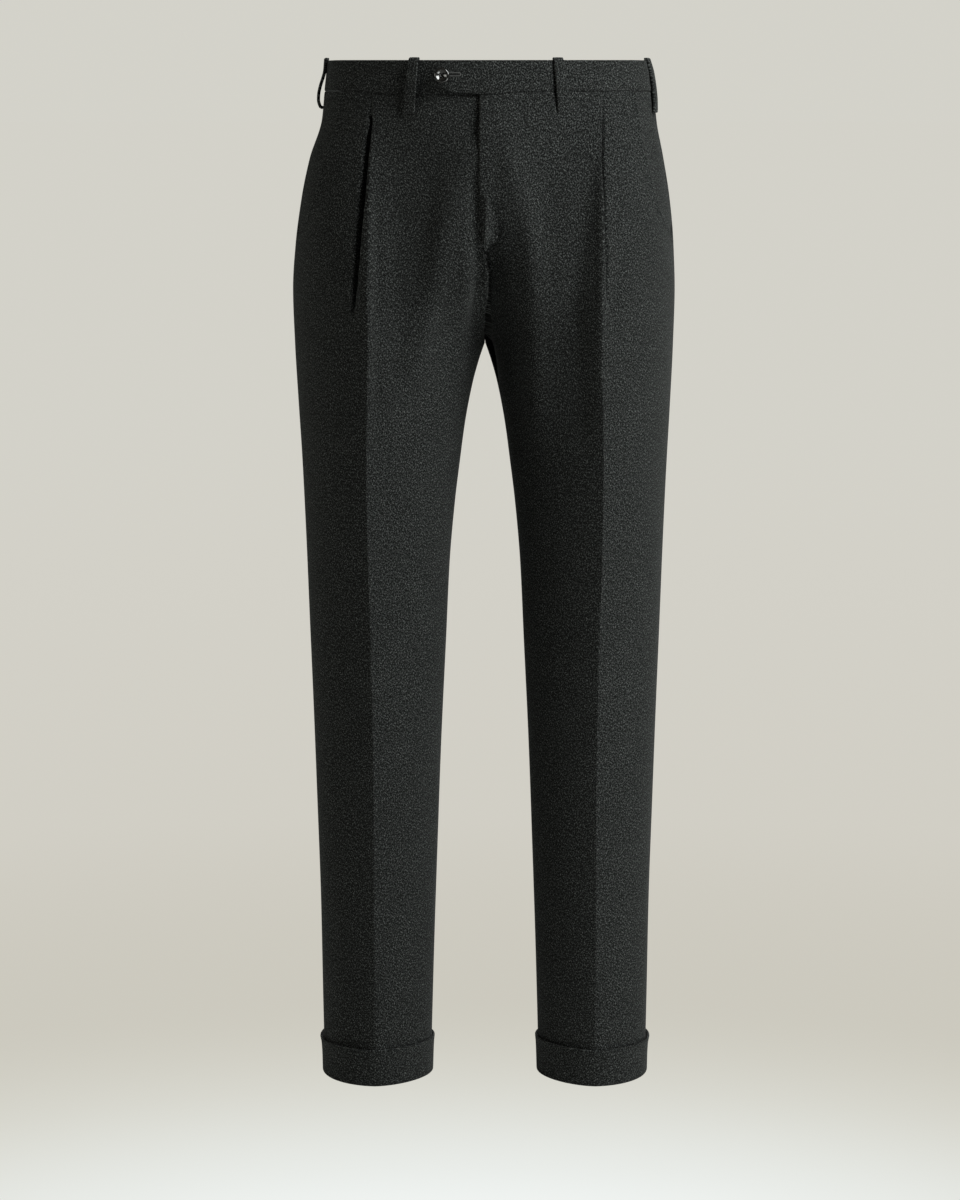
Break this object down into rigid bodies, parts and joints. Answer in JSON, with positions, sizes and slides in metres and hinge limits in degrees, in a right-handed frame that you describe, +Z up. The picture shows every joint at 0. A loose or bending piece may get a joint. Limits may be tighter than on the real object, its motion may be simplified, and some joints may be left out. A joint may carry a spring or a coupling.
{
  "type": "pleated dress trousers",
  "caption": "Full-length dress trousers, worn shape and hollow: pleated fronts, pressed creases, tab waistband, slant pockets and turn-ups.",
  "frame": {"origin": "middle of the waist opening, at half the waistband's height, where the wearer's waist holds it", "axes": "+Z up to the head, -Y to the wearer's front, +X to the wearer's left"},
  "size_m": [0.3803, 0.2605, 1.0304],
  "materials": {
    "flannel": "brushed wool flannel, charcoal melange, matt",
    "horn": "polished dark horn"
  },
  "bodies": {
    "root": {"front_left": "flannel", "front_right": "flannel", "back_left": "flannel", "back_right": "flannel", "pocket_side_left": "flannel", "pocket_side_right": "flannel", "waistband_left": "flannel", "waistband_right": "flannel", "belt_loop_front_left": "flannel", "belt_loop_front_right": "flannel", "belt_loop_side_left": "flannel", "belt_loop_side_right": "flannel", "belt_loop_back_left": "flannel", "belt_loop_back_right": "flannel", "belt_loop_centre_back": "flannel", "turn_up_left": "flannel", "turn_up_right": "flannel", "waist_button": "horn"}
  },
  "joints": []
}
